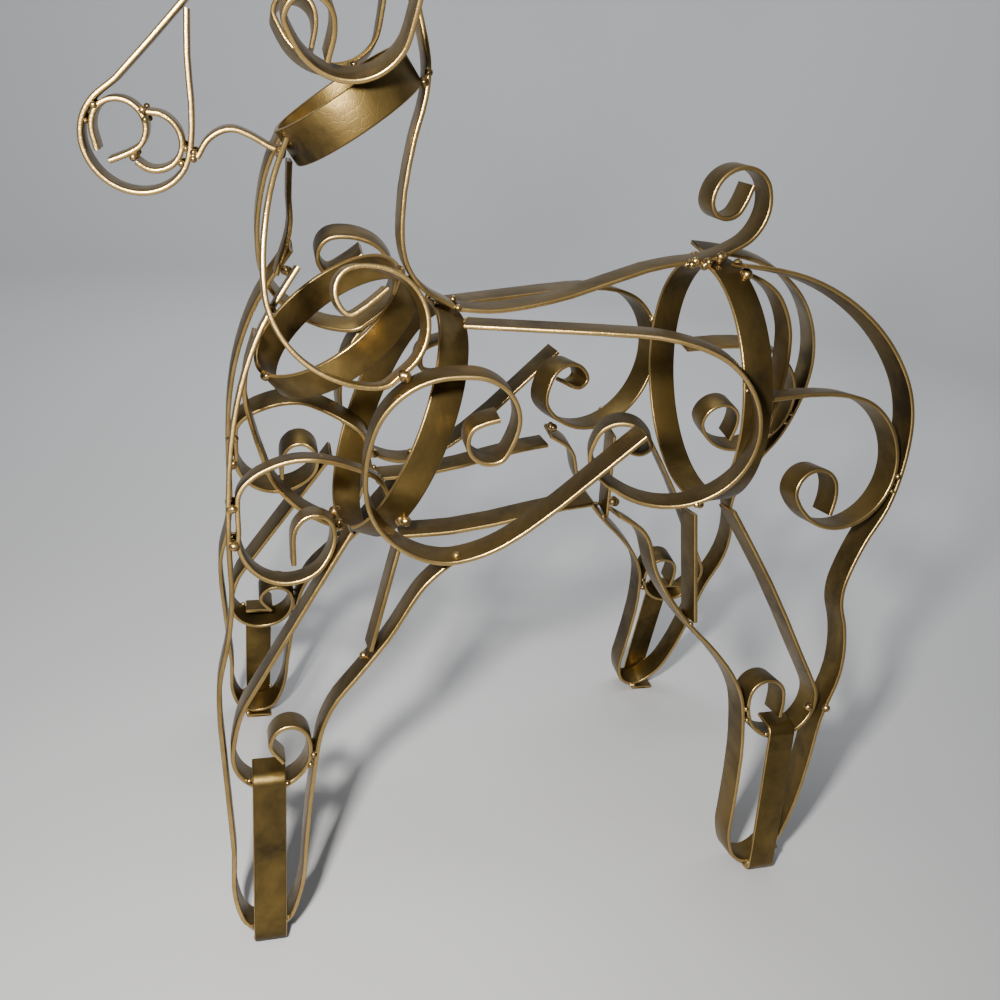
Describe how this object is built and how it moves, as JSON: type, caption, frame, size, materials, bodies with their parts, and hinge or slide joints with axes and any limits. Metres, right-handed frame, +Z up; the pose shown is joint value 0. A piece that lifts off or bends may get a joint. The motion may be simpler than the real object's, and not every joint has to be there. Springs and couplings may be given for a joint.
{
  "type": "metal reindeer decoration",
  "caption": "Standing reindeer decoration bent and welded from flat metal strip into open scrolls, hoops and loops, with a gold painted finish.",
  "frame": {"origin": "centre of the object's bounding box, at the underside of its feet", "axes": "-X is the way the reindeer faces, +Z up, the body's middle plane is y = 0"},
  "size_m": [0.4066, 0.2042, 0.597],
  "materials": {
    "gold_paint": "satin antique gold paint over bent steel strip, a little worn"
  },
  "bodies": {
    "root": {"back_and_tail_strip": "gold_paint", "breast_strip": "gold_paint", "collar_ring": "gold_paint", "face_strip": "gold_paint", "far_antler_beam": "gold_paint", "far_antler_front_tine": "gold_paint", "far_antler_rear_tine": "gold_paint", "far_belly_strip": "gold_paint", "far_chest_scroll": "gold_paint", "far_flank_scroll": "gold_paint", "far_front_ankle_brace": "gold_paint", "far_front_hoof_strap": "gold_paint", "far_front_leg_strip": "gold_paint", "far_front_thigh_brace": "gold_paint", "far_haunch_scroll": "gold_paint", "far_neck_scroll": "gold_paint", "far_rear_ankle_brace": "gold_paint", "far_rear_hoof_strap": "gold_paint", "far_rear_leg_strip": "gold_paint", "far_rear_thigh_brace": "gold_paint", "far_shoulder_scroll": "gold_paint", "front_hoop": "gold_paint", "front_nostril_curl": "gold_paint", "jaw_strip": "gold_paint", "nape_strip": "gold_paint", "near_antler_beam": "gold_paint", "near_antler_front_tine": "gold_paint", "near_antler_rear_tine": "gold_paint", "near_belly_strip": "gold_paint", "near_chest_scroll": "gold_paint", "near_flank_scroll": "gold_paint", "near_front_ankle_brace": "gold_paint", "near_front_hoof_strap": "gold_paint", "near_front_leg_strip": "gold_paint", "near_front_thigh_brace": "gold_paint", "near_haunch_scroll": "gold_paint", "near_neck_scroll": "gold_paint", "near_rear_ankle_brace": "gold_paint", "near_rear_hoof_strap": "gold_paint", "near_rear_leg_strip": "gold_paint", "near_rear_thigh_brace": "gold_paint", "near_shoulder_scroll": "gold_paint", "neck_ring": "gold_paint", "rear_hoop": "gold_paint", "rear_nostril_curl": "gold_paint", "rump_strip": "gold_paint", "throat_strip": "gold_paint"}
  },
  "joints": []
}
